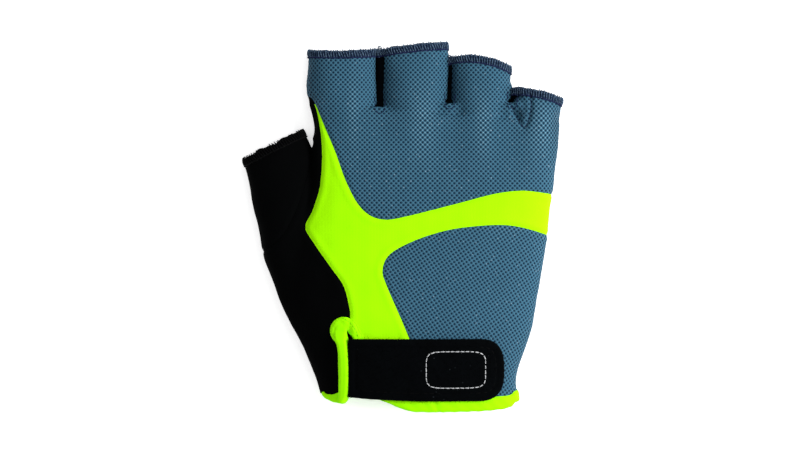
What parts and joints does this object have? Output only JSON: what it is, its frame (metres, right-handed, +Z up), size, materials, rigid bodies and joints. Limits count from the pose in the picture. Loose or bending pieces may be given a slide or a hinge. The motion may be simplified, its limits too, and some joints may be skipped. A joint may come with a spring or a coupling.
{
  "type": "short-finger cycling glove",
  "caption": "Right-hand short-finger cycling glove lying on its palm: hollow cloth shell with mesh back, contrasting yoke, bound wrist slit and closed wrist strap.",
  "frame": {"origin": "middle of the glove's outline in plan, on the surface it lies on", "axes": "+Z up out of the back of the hand, +Y towards the fingertips, the thumb on the -X side"},
  "size_m": [0.1314, 0.15, 0.0249],
  "materials": {
    "mesh_cloth": "slate-blue air mesh with small open holes, satin",
    "lime_cloth": "fluorescent lime stretch cloth, smooth, matt",
    "palm_cloth": "black suede-like synthetic leather, matt",
    "fourchette_cloth": "black stretch knit, matt",
    "lime_tape": "fluorescent lime folded binding tape, matt",
    "overlock_thread": "dark slate overlocked thread, matt",
    "brushed_loop": "charcoal brushed loop cloth, matt with light fuzz"
  },
  "bodies": {
    "root": {"palm_panel": "palm_cloth", "thumb_panel": "palm_cloth", "upper_back_panel": "mesh_cloth", "lower_back_panel": "mesh_cloth", "yoke_panel": "lime_cloth", "fourchette_index_middle": "fourchette_cloth", "fourchette_middle_ring": "fourchette_cloth", "fourchette_ring_little": "fourchette_cloth", "index_hem": "overlock_thread", "middle_hem": "overlock_thread", "ring_hem": "overlock_thread", "little_hem": "overlock_thread", "thumb_hem": "palm_cloth", "wrist_binding": "lime_tape", "strap": "brushed_loop", "strap_patch": "brushed_loop"}
  },
  "joints": []
}
